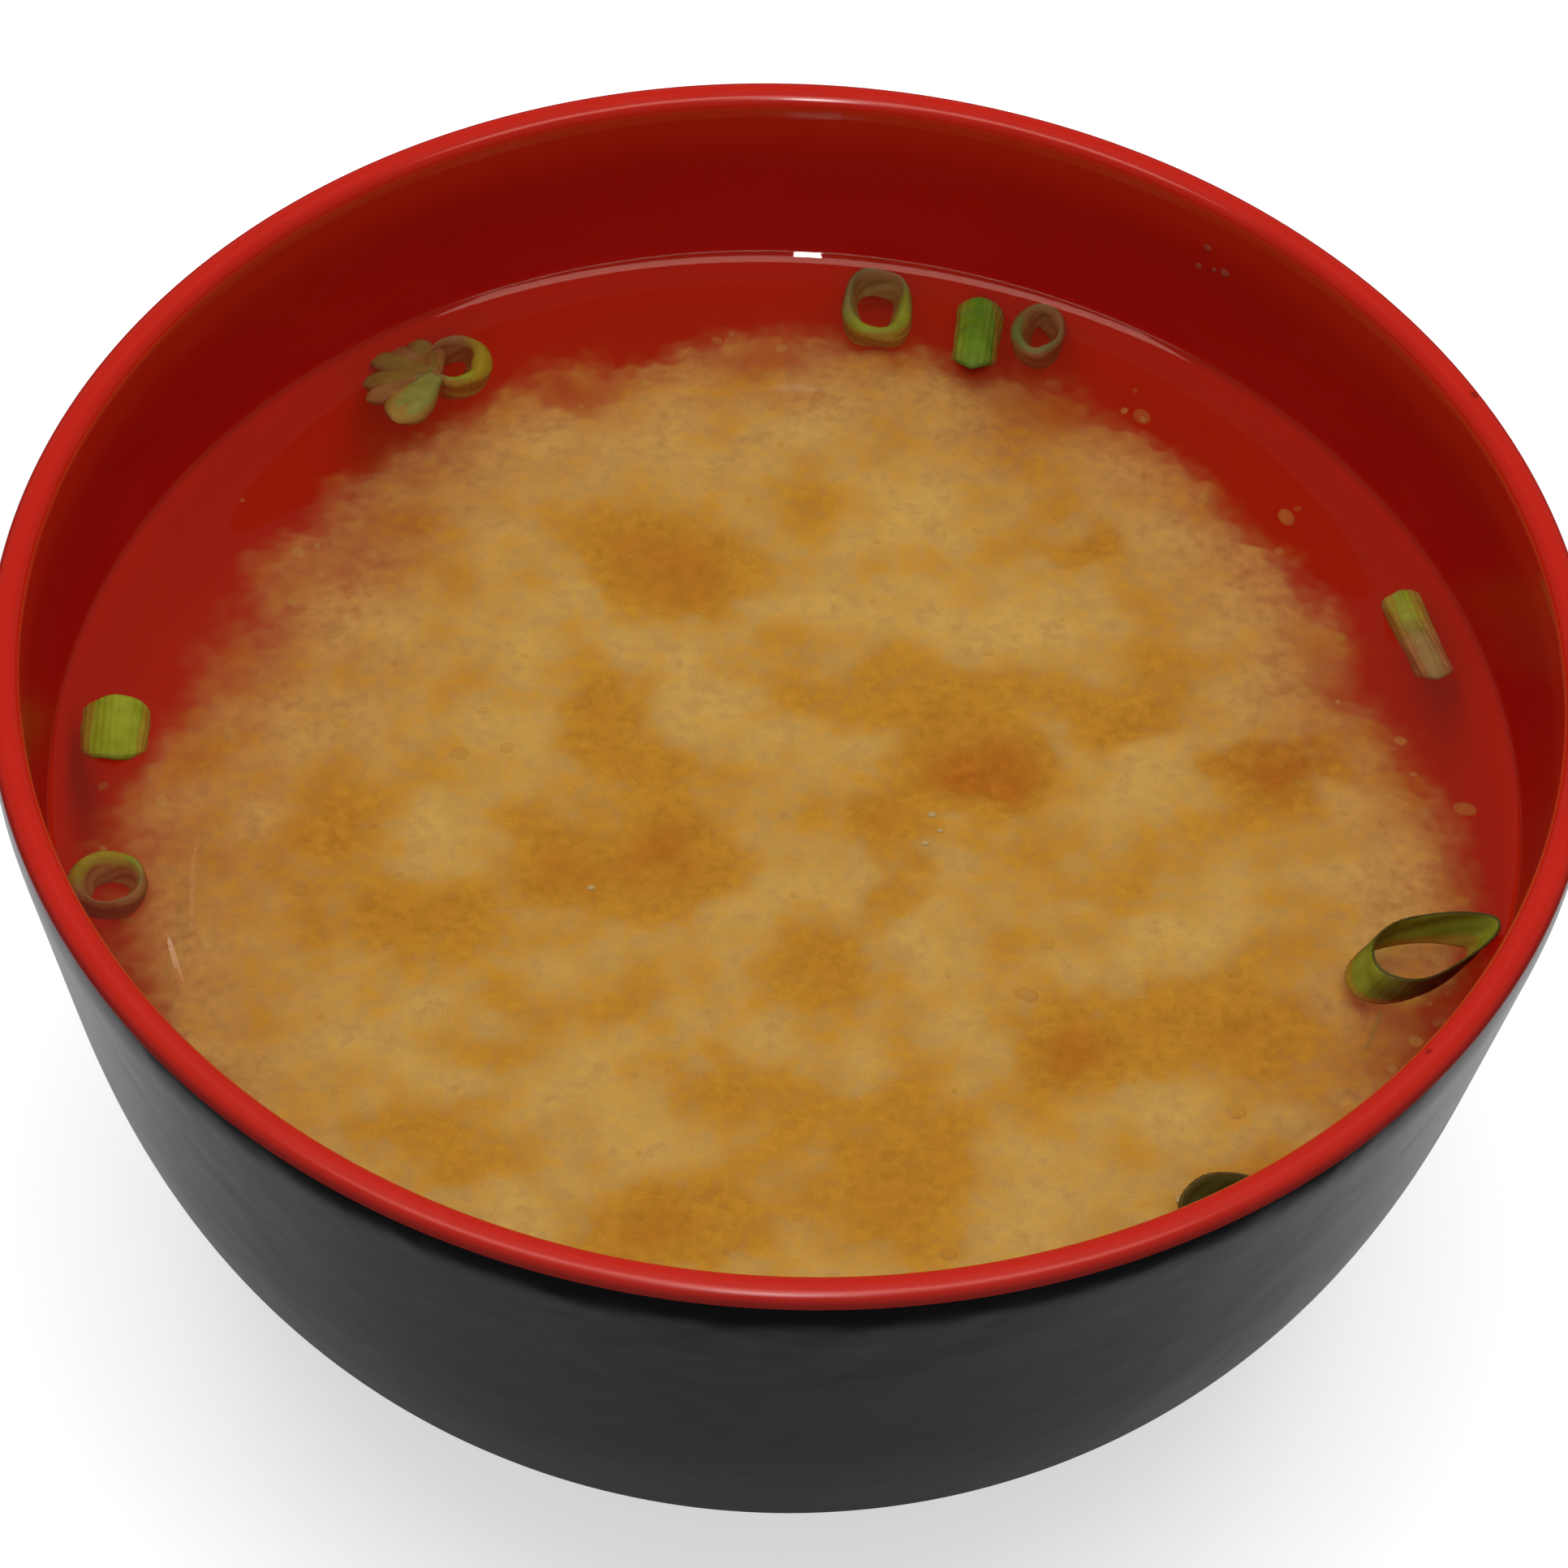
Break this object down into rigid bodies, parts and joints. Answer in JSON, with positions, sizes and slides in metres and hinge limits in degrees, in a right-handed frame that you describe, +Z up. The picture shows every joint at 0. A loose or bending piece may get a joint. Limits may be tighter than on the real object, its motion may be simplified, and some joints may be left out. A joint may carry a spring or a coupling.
{
  "type": "miso soup",
  "caption": "Round lacquered soup bowl with a low foot, filled with cloudy miso broth with sliced spring onion floating near the wall.",
  "frame": {"origin": "centre of the foot's lowest ring, on the plane that the bowl stands on", "axes": "+Z up the bowl's axis, -Y towards the viewer, +X to the viewer's right"},
  "size_m": [0.118, 0.118, 0.0602],
  "materials": {
    "bowl_lacquer": "gloss",
    "broth": "gloss",
    "onion_leaf": "satin",
    "onion_dark": "satin",
    "onion_pale": "satin"
  },
  "bodies": {
    "root": {"bowl": "bowl_lacquer", "broth": "broth", "onion_ring_back": "onion_leaf", "onion_ring_small": "onion_dark", "onion_ring_back_left": "onion_leaf", "onion_ring_left": "onion_dark", "onion_ring_right": "onion_leaf", "onion_ring_front": "onion_dark", "onion_tube_back": "onion_leaf", "onion_tube_right": "onion_pale", "onion_tube_left": "onion_leaf", "onion_fan": "onion_dark"}
  },
  "joints": []
}
